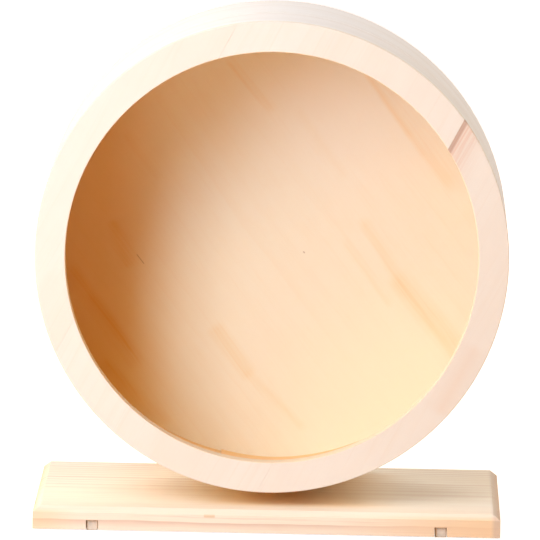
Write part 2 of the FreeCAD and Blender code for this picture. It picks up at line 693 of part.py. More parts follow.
base_board = new_body("base_board")
base_section = new_sketch(base_board, "Section", "XZ_Plane")
draw_outline(base_section, [
    (f"-{HALF_LENGTH}", "0"),
    (HALF_LENGTH, "0"),
    (HALF_LENGTH, BEVEL_FOOT),
    (f"{HALF_LENGTH} - Sizes.bevel_width", "Sizes.base_thickness"),
    (f"Sizes.bevel_width - {HALF_LENGTH}", "Sizes.base_thickness"),
    (f"-{HALF_LENGTH}", BEVEL_FOOT),
])
pad(base_board, "Board", base_section, "Sizes.base_depth", middle=True)
front_bevel = new_sketch(base_board, "FrontBevelOutline", "YZ_Plane")
draw_outline(front_bevel, [
    (f"-{HALF_DEPTH}", BEVEL_FOOT),
    (f"Sizes.bevel_width - {HALF_DEPTH}", "Sizes.base_thickness"),
    (f"-{HALF_DEPTH}", "Sizes.base_thickness"),
])
pocket(base_board, "FrontBevel", front_bevel)
grooves = new_sketch(base_board, "GrooveOutlines", "XZ_Plane")
for side in (f"-{FOOT_X}", FOOT_X):
    draw_outline(grooves, [
        (f"{side} - {GROOVE_HALF}", "0"),
        (f"{side} + {GROOVE_HALF}", "0"),
        (f"{side} + {GROOVE_HALF}", GROOVE_DEPTH),
        (f"{side} - {GROOVE_HALF}", GROOVE_DEPTH),
    ])
pocket(base_board, "FootGrooves", grooves)
dowel_sockets = new_sketch(base_board, "DowelOutlines", "XY_Plane", lift="Sizes.base_thickness")
for side in (f"-{DOWEL_X}", DOWEL_X):
    draw_circle(dowel_sockets, (side, UPRIGHT_MIDDLE), DOWEL_HOLE)
pocket(base_board, "DowelSockets", dowel_sockets, "Sizes.dowel_in_base")
screw_holes = new_sketch(base_board, "ScrewOutlines", "XY_Plane")
for side in (f"-{SCREW_X}", SCREW_X):
    draw_circle(screw_holes, (side, UPRIGHT_MIDDLE), STAND_HOLE)
pocket(base_board, "ScrewHoles", screw_holes)
head_sinks = new_sketch(base_board, "HeadOutlines", "XY_Plane")
for side in (f"-{SCREW_X}", SCREW_X):
    draw_circle(head_sinks, (side, UPRIGHT_MIDDLE), STAND_HEAD)
pocket(base_board, "HeadSinks", head_sinks, "Sizes.stand_screw_sink", backwards=True)
head_cones = new_sketch(base_board, "ConeOutlines", "XY_Plane", lift="Sizes.stand_screw_sink")
for side in (f"-{SCREW_X}", SCREW_X):
    draw_circle(head_cones, (side, UPRIGHT_MIDDLE), STAND_HEAD)
cones = pocket(base_board, "HeadCones", head_cones, "Sizes.stand_screw_cone", backwards=True)
cones.setExpression("TaperAngle", f"-atan(({STAND_HEAD} - {STAND_HOLE}) / Sizes.stand_screw_cone)")
place(base_board, up="Sizes.foot_proud")

# Foot strips in the grooves, a little proud of the underside

for label, side in (("foot_strip_left", f"-{FOOT_X}"), ("foot_strip_right", FOOT_X)):
    strip = doc.addObject("Part::Box", label)
    strip.setExpression("Length", "Sizes.foot_width")
    strip.setExpression("Width", "Sizes.base_depth - 2 * Sizes.foot_setback")
    strip.setExpression("Height", "Sizes.foot_height")
    place(strip, across=f"{side} - Sizes.foot_width / 2", along=f"Sizes.foot_setback - {HALF_DEPTH}")
    parts.append(strip)

# Upright board, drawn from the axle: a straight post with a round top, bored for the bolt, dowels and screws

POST_FOOT = f"({BASE_TOP} - {AXLE_HEIGHT})"
HALF_WIDTH = "(Sizes.upright_width / 2)"
HALF_THICKNESS = "(Sizes.upright_thickness / 2)"

upright_board = new_body("upright_board")
post_outline = new_sketch(upright_board, "PostOutline", "XZ_Plane")
draw_outline(post_outline, [
    (f"-{HALF_WIDTH}", POST_FOOT),
    (HALF_WIDTH, POST_FOOT),
    (HALF_WIDTH, "0"),
    (f"-{HALF_WIDTH}", "0"),
])
pad(upright_board, "Post", post_outline, "Sizes.upright_thickness", backwards=True)
top_outline = new_sketch(upright_board, "TopOutline", "XZ_Plane")
draw_circle(top_outline, ("0", "0"), HALF_WIDTH)
pad(upright_board, "RoundTop", top_outline, "Sizes.upright_thickness", backwards=True)
WELL_FLOOR = f"({WASHER_FRONT} - {UPRIGHT_FRONT})"
turn(upright_board, "AxleBore", [
    ("0", "0"),
    ("0", AXLE_HOLE),
    (WELL_FLOOR, AXLE_HOLE),
    (WELL_FLOOR, "Sizes.nut_well_diameter / 2"),
    ("Sizes.upright_thickness", "Sizes.nut_well_diameter / 2"),
    ("Sizes.upright_thickness", "0"),
], cut=True)
post_dowels = new_sketch(upright_board, "DowelOutlines", "XY_Plane", lift=POST_FOOT)
for side in (f"-{DOWEL_X}", DOWEL_X):
    draw_circle(post_dowels, (side, HALF_THICKNESS), DOWEL_HOLE)
pocket(upright_board, "DowelSockets", post_dowels, "Sizes.dowel_length - Sizes.dowel_in_base", backwards=True)
post_screws = new_sketch(upright_board, "ScrewOutlines", "XY_Plane", lift=POST_FOOT)
for side in (f"-{SCREW_X}", SCREW_X):
    draw_circle(post_screws, (side, HALF_THICKNESS), STAND_HOLE)
SCREW_IN_POST = "Sizes.stand_screw_length + Sizes.stand_screw_sink - Sizes.base_thickness"
pocket(upright_board, "ScrewHoles", post_screws, SCREW_IN_POST, backwards=True)
place(upright_board, along=f"{HALF_DEPTH} - Sizes.upright_thickness", up=AXLE_HEIGHT)

# Dowels and screws between the base and the upright

DOWEL_RADIUS = "Sizes.dowel_diameter / 2"
upright_dowels = new_body("upright_dowels")
dowel = turn(upright_dowels, "Dowel", [
    (DOWEL_X, "0"),
    (f"{DOWEL_X} + {DOWEL_RADIUS} - Sizes.dowel_chamfer", "0"),
    (f"{DOWEL_X} + {DOWEL_RADIUS}", "Sizes.dowel_chamfer"),
    (f"{DOWEL_X} + {DOWEL_RADIUS}", "Sizes.dowel_length - Sizes.dowel_chamfer"),
    (f"{DOWEL_X} + {DOWEL_RADIUS} - Sizes.dowel_chamfer", "Sizes.dowel_length"),
    (DOWEL_X, "Sizes.dowel_length"),
], axis="Axis0", axis_line=((DOWEL_X, "0"), (DOWEL_X, "Sizes.dowel_length")), plane="XZ_Plane")
mirror_pair(upright_dowels, "OtherDowel", [dowel])
place(upright_dowels, along=UPRIGHT_MIDDLE, up=f"{BASE_TOP} - Sizes.dowel_in_base")

upright_screws = new_body("upright_screws")
SHANK_EDGE = f"{SCREW_X} + Sizes.stand_screw_shank / 2"
screw = turn(upright_screws, "Screw", [
    (SCREW_X, "0"),
    (f"{SCREW_X} + Sizes.stand_screw_head / 2", "0"),
    (SHANK_EDGE, "Sizes.stand_screw_cone"),
    (SHANK_EDGE, "Sizes.stand_screw_length - Sizes.stand_screw_tip"),
    (SCREW_X, "Sizes.stand_screw_length"),
], axis="Axis0", axis_line=((SCREW_X, "0"), (SCREW_X, "Sizes.stand_screw_length")), plane="XZ_Plane")
drive_outline = new_sketch(upright_screws, "DriveOutline", "XY_Plane")
drive_corners = regular_corners("Sizes.stand_screw_drive", 4)
draw_outline(drive_outline, [(f"{SCREW_X} + {across}", along) for across, along in drive_corners])
drive = pocket(upright_screws, "Drive", drive_outline, "Sizes.stand_drive_depth", backwards=True)
mirror_pair(upright_screws, "OtherScrew", [screw, drive])
place(upright_screws, along=UPRIGHT_MIDDLE, up="Sizes.foot_proud + Sizes.stand_screw_sink")

# Write the parts once every one of them is sound

doc.recompute()
for item in doc.Objects:
    if {"Invalid", "Error"} & set(item.State):
        raise RuntimeError(f"{item.Label} failed: {item.State}")
for part in parts:
    if part.Shape.isNull() or not part.Shape.isValid():
        raise RuntimeError(f"{part.Label} has no sound shape")
os.makedirs("parts", exist_ok=True)
for part in parts:
    part.Shape.exportStep(f"parts/{part.Label}.step")
    print(f"{part.Label}: {len(part.Shape.Solids)} solids, {part.Shape.Volume:.1f} mm3")
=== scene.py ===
"""Looks of the wooden exercise wheel: materials, fine detail, studio light and the photograph's camera.

Metres, +Z up, the open front faces -Y, and the origin lies under the middle of the base. Patterns inside the
materials are measured in millimetres.
"""

import bpy
import math
from mathutils import Matrix, Vector


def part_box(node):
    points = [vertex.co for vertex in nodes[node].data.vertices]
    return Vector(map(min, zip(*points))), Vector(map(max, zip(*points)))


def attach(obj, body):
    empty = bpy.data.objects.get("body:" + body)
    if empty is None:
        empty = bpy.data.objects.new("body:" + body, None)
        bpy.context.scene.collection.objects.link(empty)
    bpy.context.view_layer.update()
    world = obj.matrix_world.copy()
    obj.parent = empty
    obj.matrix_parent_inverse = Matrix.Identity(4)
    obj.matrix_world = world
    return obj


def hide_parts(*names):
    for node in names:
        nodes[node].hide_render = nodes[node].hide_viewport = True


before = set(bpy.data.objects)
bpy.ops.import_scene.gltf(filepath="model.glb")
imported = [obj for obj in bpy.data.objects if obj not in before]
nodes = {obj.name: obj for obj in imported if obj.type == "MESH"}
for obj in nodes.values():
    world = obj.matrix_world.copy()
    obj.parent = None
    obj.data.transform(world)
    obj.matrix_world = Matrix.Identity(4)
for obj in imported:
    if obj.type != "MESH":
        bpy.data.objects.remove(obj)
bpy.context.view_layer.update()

# Places taken over from the solids. Joints are degrees clockwise from the top, seen from the open front

AXLE = Vector((0.0, 0.0, 0.1215))
HOOP_RADIUS = 0.105
LINER_RADIUS = 0.102
FRONT_HOOP_JOINT = 160.0
REAR_HOOP_JOINT = 205.0
LINER_JOINT = 192.6

MILLIMETRES_PER_METRE = 1000.0


# Building blocks of node materials


def grey(value):
    return (value, value, value, 1.0)


def opaque(colour):
    return (*colour, 1.0)


class Tree:
    """Node tree of a material or of the world, with short calls for the nodes used here."""

    def __init__(self, owner):
        owner.use_nodes = True
        self.owner = owner
        self.nodes = owner.node_tree.nodes
        self.links = owner.node_tree.links
        self.nodes.clear()

    def put(self, socket, value):
        """Link a socket to another one, or set its own value."""
        if isinstance(value, bpy.types.NodeSocket):
            self.links.new(value, socket)
        else:
            socket.default_value = value

    def add(self, kind, inputs=None, **settings):
        """New node with its settings and inputs."""
        node = self.nodes.new(kind)
        for key, value in settings.items():
            setattr(node, key, value)
        for key, value in (inputs or {}).items():
            self.put(node.inputs[key], value)
        return node

    def math(self, operation, first, second=0.0):
        return self.add("ShaderNodeMath", {0: first, 1: second}, operation=operation).outputs[0]

    def times(self, *factors):
        """Product of several values."""
        product = factors[0]
        for factor in factors[1:]:
            product = self.math("MULTIPLY", product, factor)
        return product

    def vector(self, operation, first, second):
        node = self.add("ShaderNodeVectorMath", {0: first, 1: second}, operation=operation)
        return node.outputs["Vector"]

    def length(self, vector):
        return self.add("ShaderNodeVectorMath", {0: vector}, operation="LENGTH").outputs["Value"]

    def dot(self, first, second):
        node = self.add("ShaderNodeVectorMath", {0: first, 1: second}, operation="DOT_PRODUCT")
        return node.outputs["Value"]

    def split(self, vector):
        return self.add("ShaderNodeSeparateXYZ", {0: vector}).outputs

    def join(self, x, y, z):
        return self.add("ShaderNodeCombineXYZ", {0: x, 1: y, 2: z}).outputs[0]

    def place(self):
        """Metres in the piece's own coordinates, which are the shared frame at rest."""
        return self.add("ShaderNodeTexCoord").outputs["Object"]

    def noise(self, vector, scale, detail=2.0, roughness=0.5):
        inputs = {"Vector": vector, "Scale": scale, "Detail": detail, "Roughness": roughness}
        return self.add("ShaderNodeTexNoise", inputs).outputs

    def remap(self, value, low, high, to_low=0.0, to_high=1.0, smooth=True):
        """Value stretched from one range to another and held at its ends."""
        inputs = {"Value": value, "From Min": low, "From Max": high, "To Min": to_low, "To Max": to_high}
        kind = "SMOOTHSTEP" if smooth else "LINEAR"
        return self.add("ShaderNodeMapRange", inputs, interpolation_type=kind, clamp=True).outputs["Result"]

    def ramp(self, value, stops):
        """Colour along stops of (place, colour)."""
        node = self.add("ShaderNodeValToRGB", {0: value})
        elements = node.color_ramp.elements
        while len(elements) < len(stops):
            elements.new(0.5)
        for element, (place, colour) in zip(elements, stops):
            element.position = place
            element.color = colour
        return node.outputs["Color"]

    def mix(self, factor, first, second, blend="MIX"):
        node = self.add("ShaderNodeMix", data_type="RGBA", blend_type=blend)
        self.put(node.inputs["Factor"], factor)
        self.put(node.inputs[6], first)
        self.put(node.inputs[7], second)
        return node.outputs[2]

    def tint(self, colour, tone, *factors, blend="MIX"):
        """Colour taken towards a tone by the product of the factors."""
        return self.mix(self.times(*factors), colour, opaque(tone), blend)

    def surface(self, colour, roughness, height, relief, depth, extra=None):
        """Finished material with a fine relief of the given strength and depth."""
        bump = self.add("ShaderNodeBump", {"Strength": relief, "Distance": depth, "Height": height})
        inputs = {"Base Color": colour, "Roughness": roughness, "Normal": bump.outputs["Normal"]}
        return self.finish(self.add("ShaderNodeBsdfPrincipled", {**inputs, **(extra or {})}))

    def finish(self, shader, kind="ShaderNodeOutputMaterial"):
        output = self.add(kind)
        self.links.new(shader.outputs[0], output.inputs["Surface"])
        return self.owner


def new_material(name):
    return Tree(bpy.data.materials.new(name))


def coat(*names, material):
    """Give CAD nodes a material."""
    for name in names:
        mesh = nodes[name].data
        mesh.materials.clear()
        mesh.materials.append(material)


def from_axle(tree):
    """Millimetres from the middle of the axle."""
    return tree.vector("MULTIPLY", tree.vector("SUBTRACT", tree.place(), AXLE), (MILLIMETRES_PER_METRE,) * 3)


def reach_from(tree, place, x=0.0, z=0.0):
    """Distance in the wheel's plane from a point of that plane."""
    offset = tree.vector("SUBTRACT", place, (x, 0.0, z))
    return tree.length(tree.vector("MULTIPLY", offset, (1, 0, 1)))


# Modelled pieces


def skin(rings, closed):
    """Points and faces of a surface through rings of points, capped at both ends unless it closes up."""
    count = len(rings[0])
    points = [point for ring in rings for point in ring]
    faces = []
    for step in range(len(rings) if closed else len(rings) - 1):
        here, there = step * count, (step + 1) % len(rings) * count
        for side in range(count):
            following = (side + 1) % count
            faces.append((here + side, here + following, there + following, there + side))
    if not closed:
        faces.append(tuple(reversed(range(count))))
        faces.append(tuple(range(len(points) - count, len(points))))
    return points, faces


def made(name, vertices, faces, material, body, node, slot):
    """Mesh piece that rides on a body and stands for a CAD node."""
    mesh = bpy.data.meshes.new(name)
    mesh.from_pydata(vertices, [], faces)
    mesh.materials.append(material)
    mesh.update()
    piece = bpy.data.objects.new(name, mesh)
    bpy.context.scene.collection.objects.link(piece)
    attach(piece, body)
    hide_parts(node)
    return piece


def ease(name, width, segments):
    """Small rounding of a CAD node's sharp edges."""
    piece = nodes[name]
    weld = piece.modifiers.new("weld", "WELD")
    weld.merge_threshold = 0.000002
    bevel = piece.modifiers.new("ease", "BEVEL")
    bevel.width = width
    bevel.segments = segments
    bevel.limit_method = "ANGLE"
    bevel.angle_limit = math.radians(30)
    bevel.harden_normals = True


# Wood

WOOD_ROUGHNESS = 0.62
WOOD_SPECULAR = 0.06
WOOD_RELIEF = 0.22
WOOD_RELIEF_DEPTH = 0.0003
SEED_STEP = 370.0
# Share of late wood from the start to the end of one year's growth
YEAR_RING = [(0.0, 0.30), (0.10, 0.02), (0.50, 0.10), (0.85, 0.75), (0.96, 1.0), (1.0, 0.30)]


def board_space(tree, grain, pith):
    """Millimetres along a grain in the wheel's plane and across it, from the pith inside the growth rings."""
    along = Vector(grain).normalized()
    across = along.cross(Vector((0, 1, 0))).normalized()
    turn = Matrix((along, across, along.cross(across)))
    mapping = tree.add("ShaderNodeMapping", {
        "Vector": tree.place(),
        "Location": -(turn @ (Vector(pith) * MILLIMETRES_PER_METRE)),
        "Rotation": turn.to_euler("XYZ"),
        "Scale": (MILLIMETRES_PER_METRE,) * 3,
    })
    return mapping.outputs["Vector"]


def hoop_space(tree, joint_angle, radius):
    """Millimetres along a bent strip from opposite its butt joint, across its width and out from the axle."""
    place = from_axle(tree)
    turn = math.radians(joint_angle)
    beside = tree.dot(place, (-math.cos(turn), 0.0, math.sin(turn)))
    opposite = tree.dot(place, (-math.sin(turn), 0.0, -math.cos(turn)))
    angle = tree.math("ARCTAN2", beside, opposite)
    _, across, _ = tree.split(place)
    return tree.join(tree.times(angle, radius * MILLIMETRES_PER_METRE), across, reach_from(tree, place))


def drawn_out(tree, place, stretch, scale, detail=2.0, roughness=0.5):
    """Noise drawn out along the grain."""
    return tree.noise(tree.vector("MULTIPLY", place, (stretch, 1, 1)), scale, detail, roughness)


def wander(tree, place, stretch, scale, reach):
    """Shift of the growth rings across the grain, by up to half the reach in millimetres."""
    colour = drawn_out(tree, place, stretch, scale)["Color"]
    return tree.vector("MULTIPLY", tree.vector("SUBTRACT", colour, (0.5, 0.5, 0.5)), (0, reach, reach))


def wood(name, space, pale, late, warm, ring_width=4.0, ring_strength=0.5, warp=5.0, fibre=0.35, tone=0.5,
         seed=0.0, grain=None, end_colour=None, extra=None):
    """Sawn and sanded wood: growth rings, fibre streaks, slow tone changes and fine flecks."""
    tree = new_material(name)
    place = tree.vector("ADD", space(tree), (seed * SEED_STEP, 0.0, 0.0))
    bent = tree.vector("ADD", place, wander(tree, place, 0.10, 0.020, warp * 2))
    bent = tree.vector("ADD", bent, wander(tree, place, 0.22, 0.11, warp * 0.35))
    count = tree.math("DIVIDE", tree.length(tree.vector("MULTIPLY", bent, (0, 1, 1))), ring_width)
    year = tree.math("ADD", tree.math("FLOOR", count), seed)
    vigour = tree.add("ShaderNodeTexWhiteNoise", {"W": year}, noise_dimensions="1D").outputs["Value"]
    rings = tree.ramp(tree.math("FRACT", count), [(season, grey(share)) for season, share in YEAR_RING])
    rings = tree.times(rings, tree.remap(vigour, 0.0, 1.0, 0.15, 1.0, False))
    streaks = drawn_out(tree, bent, 0.012, 0.9, 4.0, 0.6)["Fac"]
    hairs = drawn_out(tree, bent, 0.03, 4.5, 2.0, 0.6)["Fac"]
    clouds = drawn_out(tree, place, 0.25, 0.03, 3.0, 0.55)["Fac"]
    mottle = drawn_out(tree, place, 0.5, 0.16, 4.0, 0.65)["Fac"]

    colour = tree.tint(opaque(pale), late, rings, ring_strength)
    colour = tree.tint(colour, warm, tree.remap(clouds, 0.38, 0.72), tone)
    colour = tree.tint(colour, late, tree.remap(streaks, 0.5, 0.78), fibre)
    colour = tree.tint(colour, late, tree.remap(hairs, 0.62, 0.85), fibre * 0.7)
    colour = tree.tint(colour, warm, tree.remap(mottle, 0.42, 0.72), 0.16)
    if extra is not None:
        colour = extra(tree, colour, streaks)
    if end_colour is not None:
        normal = tree.add("ShaderNodeTexCoord").outputs["Normal"]
        facing = tree.math("ABSOLUTE", tree.dot(normal, grain))
        ends = tree.times(tree.remap(facing, 0.45, 0.9), 0.9)
        colour = tree.mix(ends, colour, tree.tint(colour, end_colour, 0.55, blend="MULTIPLY"))

    height = tree.math("ADD", tree.times(hairs, 0.6), tree.times(streaks, 0.5))
    height = tree.math("ADD", height, tree.times(rings, 0.15))
    shine = tree.math("ADD", WOOD_ROUGHNESS, tree.times(tree.math("SUBTRACT", streaks, 0.5), 0.25))
    return tree.surface(
        colour, shine, height, WOOD_RELIEF, WOOD_RELIEF_DEPTH, {"Specular IOR Level": WOOD_SPECULAR})


def stroke(tree, place, start, end, above, below, waver=1.0):
    """Soft mark from left to right between two points of the wheel's plane, fading out above and below."""
    start, end = Vector((start[0], 0.0, start[1])), Vector((end[0], 0.0, end[1]))
    along = (end - start).normalized()
    upper = Vector((-along.z, 0.0, along.x))
    half = (end - start).length / 2
    local = tree.vector("SUBTRACT", place, (start + end) / 2)
    drift = tree.noise(tree.vector("ADD", place, start * 9), 0.05, 3.0, 0.6)["Fac"]
    wave = tree.times(tree.math("SUBTRACT", drift, 0.5), waver * 2)
    side = tree.math("ADD", tree.dot(local, upper), wave)
    run = tree.math("ABSOLUTE", tree.dot(local, along))
    fade_above = tree.remap(side, above, 0.0, smooth=False)
    fade_below = tree.remap(side, -below, 0.0)
    return tree.times(fade_above, fade_below, tree.remap(run, half, half * 0.75))


# Front ring: three boards with the grain along their glue lines

GLUE_LEAN = math.radians(27.8)
ALONG_RING = Vector((math.sin(GLUE_LEAN), 0.0, math.cos(GLUE_LEAN)))
ACROSS_RING = Vector((math.cos(GLUE_LEAN), 0.0, -math.sin(GLUE_LEAN)))
RIGHT_LINE = 44.7

RING_PALE = (0.845, 0.80, 0.71)
RING_LATE = (0.80, 0.685, 0.555)
RING_WARM = (0.835, 0.755, 0.64)
RING_TAN = (0.80, 0.64, 0.50)
RING_HEART = (0.76, 0.55, 0.43)
RING_CORE = (0.66, 0.42, 0.32)
RING_LINE = (0.46, 0.27, 0.19)
# Painted bounce light: yellow for the sawn wall of the mouth
MOUTH_PAINTED_BOUNCE = (0.94, 0.79, 0.54)


def painted_mouth_bounce(tree, colour, streaks):
    """Painted warm light on the sawn wall of the mouth: yellower, as if lit by light thrown back from the
    disc and liner.
    """
    wall = tree.remap(reach_from(tree, from_axle(tree)), 92.0, 91.7)
    return tree.tint(colour, MOUTH_PAINTED_BOUNCE, wall, 0.5)


def dark_edge(tree, colour, streaks):
    """Brown heartwood in fibres at the upper end of the right board's glue line, and a tan patch below."""
    # Painted yellow bounce light on the mouth's wall, as on the other boards
    colour = painted_mouth_bounce(tree, colour, streaks)
    place = from_axle(tree)
    inside = tree.math("SUBTRACT", tree.dot(place, ACROSS_RING), RIGHT_LINE)
    run = tree.dot(place, ALONG_RING)
    upper_end = tree.remap(run, 35.0, 62.0)
    fibres = tree.math("ADD", 0.35, tree.times(tree.remap(streaks, 0.36, 0.64), 0.55))
    colour = tree.tint(colour, RING_HEART, tree.remap(inside, 17.0, 2.0), upper_end, fibres)
    core = tree.times(
        tree.remap(inside, 5.0, 8.0), tree.remap(inside, 12.5, 9.0), tree.remap(run, 66.0, 58.0))
    colour = tree.tint(colour, RING_CORE, core, upper_end, 0.4)
    patch = stroke(tree, place, (74.0, -70.0), (92.0, -36.0), 8.0, 8.0)
    colour = tree.tint(colour, RING_TAN, patch, 0.4)
    return tree.tint(colour, RING_LINE, tree.remap(inside, 2.6, 1.3), upper_end, 0.62)


def ring_board_wood(name, pith, seed, extra=painted_mouth_bounce):
    return wood(name, lambda tree: board_space(tree, ALONG_RING, pith), RING_PALE, RING_LATE, RING_WARM,
                ring_width=3.4, ring_strength=0.30, fibre=0.28, seed=seed, extra=extra)


coat("front_ring_left_board", material=ring_board_wood("ring_left", (-0.09, 0.03, 0.1), 1.0))
coat("front_ring_middle_board", material=ring_board_wood("ring_middle", (0.0, 0.04, 0.1), 2.0))
coat("front_ring_right_board", material=ring_board_wood("ring_right", (0.06, 0.01, 0.1), 3.0, dark_edge))

# Bent wood of the drum

HOOP_COLOURS = ((0.86, 0.86, 0.845), (0.73, 0.665, 0.595), (0.83, 0.80, 0.755))
LINER_COLOURS = ((0.95, 0.68, 0.36), (0.84, 0.53, 0.25), (0.93, 0.62, 0.30))


def hoop_wood(name, joint_angle, radius, seed, colours):
    return wood(name, lambda tree: hoop_space(tree, joint_angle, radius), *colours,
                ring_width=6.0, ring_strength=0.55, fibre=0.5, seed=seed)


coat("front_hoop", material=hoop_wood("front_hoop", FRONT_HOOP_JOINT, HOOP_RADIUS, 4.0, HOOP_COLOURS))
coat("rear_hoop", material=hoop_wood("rear_hoop", REAR_HOOP_JOINT, HOOP_RADIUS, 5.0, HOOP_COLOURS))
liner_wood = hoop_wood("track_liner", LINER_JOINT, LINER_RADIUS, 6.0, LINER_COLOURS)
coat("track_liner", material=liner_wood)

LINER_THICKNESS = 0.001
LINER_STEPS = 360
SPRUNG_LIFT = 0.0007
SPRUNG_DEGREES = 20.0
JOINT_HALF_GAP = 0.06


def sprung_liner(name, node):
    """Bent veneer strip of the running track, with the right end of its butt joint sprung inwards."""
    low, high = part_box(node)
    outer = (high[0] - low[0]) / 2
    rings = []
    for step in range(LINER_STEPS + 1):
        degrees = LINER_JOINT - JOINT_HALF_GAP - step * (360.0 - 2 * JOINT_HALF_GAP) / LINER_STEPS
        share = max(1.0 - (LINER_JOINT - degrees) / SPRUNG_DEGREES, 0.0)
        back = outer - SPRUNG_LIFT * share * share
        track = back - LINER_THICKNESS
        angle = math.radians(degrees)
        profile = [(back, low[1]), (back, high[1]), (track, high[1]), (track, low[1])]
        rings.append([
            (math.sin(angle) * radius, y, AXLE.z + math.cos(angle) * radius) for radius, y in profile])
    piece = made(name, *skin(rings, closed=False), liner_wood, "wheel", node, "track_veneer")
    piece.data.shade_smooth()
    piece.data.set_sharp_from_angle(angle=math.radians(30))


sprung_liner("sprung_liner", "track_liner")

# Back disc, with the tones, painted shadow and painted light, orange streaks and small marks of its face, in
# millimetres from the axle

DISC_GRAIN = (math.cos(math.radians(-52)), 0.0, math.sin(math.radians(-52)))
DISC_PITH = (0.05, 0.13, 0.17)
DISC_COLOURS = ((0.935, 0.86, 0.68), (0.88, 0.68, 0.44), (0.925, 0.785, 0.565))
# Brown for the left of the disc: partly heartwood, partly painted shadow of the drum's left wall
DISC_HEART_AND_SHADOW = (0.77, 0.43, 0.10)
DISC_ORANGE = (0.93, 0.73, 0.46)
DISC_SPECK = (0.34, 0.19, 0.09)
DISC_TINTS_AND_PAINTED_LIGHT = [
    # middle, reach, core, strength, colour
    # yellower towards the lower right
    ((57.0, -82.0), 75.0, 20.0, 0.75, (0.94, 0.915, 0.69)),
    # painted light: paler at the top, lifting the shade of the drum's top wall
    ((35.0, 82.0), 75.0, 15.0, 0.60, (0.95, 0.92, 0.84)),
]
DISC_STREAKS = [
    # start, end, fade above, fade below, strength
    ((36, 79), (81, 18), 13.0, 2.4, 0.34),
    ((36, 79), (62, 43), 2.6, 2.0, 0.30),
    ((38, 9), (62, -29), 5.0, 3.5, 0.40),
    ((52, -17), (87, -57), 9.0, 6.0, 0.48),
    ((60, -24), (84, -51), 4.5, 4.5, 0.22),
    ((30, -1), (54, -34), 3.5, 2.0, 0.22),
    ((-94, -14), (-57, -63), 4.0, 8.0, 0.60),
    ((-84, -28), (-62, -57), 2.5, 3.0, 0.32),
    ((-27, -41), (-8, -66), 4.5, 7.0, 0.50),
    ((-13, -61), (17, -90), 2.6, 4.0, 0.30),
    ((-24, 79), (-1, 54), 4.0, 2.0, 0.26),
    ((-78, -58), (-44, -89), 3.0, 6.0, 0.45),
    ((-73, 6), (-65, -18), 6.0, 6.0, 0.50),
    ((-70, 45), (-52, 22), 3.0, 2.0, 0.20),
    ((8, 60), (33, 24), 3.0, 5.0, 0.14),
]
DISC_MARKS = [
    # start, end, fade above, fade below
    ((-62.2, -10.4), (-58.4, -15.2), 0.36, 0.30),
    ((13.2, -7.8), (14.0, -8.6), 0.5, 0.5),
]


def disc_face(tree, colour, streaks):
    """Front of the disc: brown at the left, partly heartwood and partly painted shadow of the drum's wall;
    yellower and paler areas, the one at the top painted light; orange streaks and dark specks.
    """
    place = from_axle(tree)
    x, y, _ = tree.split(place)
    front = tree.remap(y, 38.0, 36.0)
    # Browner towards the left: painted shadow of the drum's left wall, partly heartwood
    colour = tree.tint(colour, DISC_HEART_AND_SHADOW, tree.remap(x, -36.0, -80.0), 0.70, front)
    for middle, reach, core, strength, tone in DISC_TINTS_AND_PAINTED_LIGHT:
        area = tree.remap(reach_from(tree, place, *middle), reach, core)
        colour = tree.tint(colour, tone, area, strength, front)
    grainy = tree.times(tree.remap(streaks, 0.3, 0.7, 0.4, 0.9, False), front)
    for start, end, above, below, strength in DISC_STREAKS:
        mark = stroke(tree, place, start, end, above, below)
        colour = tree.tint(colour, DISC_ORANGE, mark, grainy, strength, blend="MULTIPLY")
    for start, end, above, below in DISC_MARKS:
        mark = stroke(tree, place, start, end, above, below, waver=0.0)
        colour = tree.tint(colour, DISC_SPECK, mark, front, 0.6)
    return colour


coat("back_disc", material=wood(
    "back_disc", lambda tree: board_space(tree, DISC_GRAIN, DISC_PITH), *DISC_COLOURS,
    ring_width=6.5, ring_strength=0.14, fibre=0.14, tone=0.35, warp=9.0, seed=7.0, extra=disc_face))

# Stand

LEVEL_GRAIN = (1.0, 0.0, 0.0)
POST_GRAIN = (0.0, 0.0, 1.0)
BOARD_COLOURS = ((0.92, 0.85, 0.71), (0.63, 0.41, 0.31), (0.90, 0.79, 0.63))
HUB_COLOURS = ((0.93, 0.78, 0.58), (0.82, 0.60, 0.38), (0.90, 0.72, 0.50))
DOWEL_COLOURS = ((0.90, 0.72, 0.50), (0.78, 0.55, 0.33), (0.86, 0.66, 0.43))
BOARD_END = (0.78, 0.66, 0.54)
BASE_WARM = (0.90, 0.62, 0.34)
# Painted warm shade for the deck under the wheel
BASE_PAINTED_SHADE = (0.96, 0.60, 0.25)
# Painted shade for the right end, which faces away from the light
BASE_PAINTED_END_SHADE = (0.58, 0.47, 0.40)
BASE_FLECK = (0.66, 0.43, 0.17)


def base_face(tree, colour, streaks):
    """Warmer wood low on the base and at its ends, painted warm shade under the wheel, painted shade browning
    the right end, and a tan fleck.
    """
    place = from_axle(tree)
    x, y, z = tree.split(place)
    low = tree.remap(z, -111.5, -113.5)
    left_end = tree.times(tree.remap(x, -80.0, -103.0), 0.7)
    ends = tree.math("MAXIMUM", tree.remap(x, 25.0, 100.0), left_end)
    colour = tree.tint(colour, BASE_WARM, low, tree.math("ADD", 0.05, tree.times(ends, 0.62)))
    # Painted shade: warm orange on the deck under the wheel, where the wheel's shadow falls
    painted_shade_below_wheel = tree.times(
        tree.remap(x, -40.0, -2.0),
        tree.remap(x, 68.0, 26.0),
        tree.remap(tree.math("ABSOLUTE", y), 60.0, 44.0),
        tree.remap(z, -112.5, -111.5))
    colour = tree.tint(colour, BASE_PAINTED_SHADE, painted_shade_below_wheel, 0.60)
    # Painted shade: browner at the right end, turned away from the light
    colour = tree.tint(colour, BASE_PAINTED_END_SHADE, tree.remap(x, 99.0, 101.5), 0.55)
    fleck = stroke(tree, place, (-28.0, -114.0), (-22.5, -114.0), 1.2, 1.0, 0.3)
    return tree.tint(colour, BASE_FLECK, fleck, 0.5)


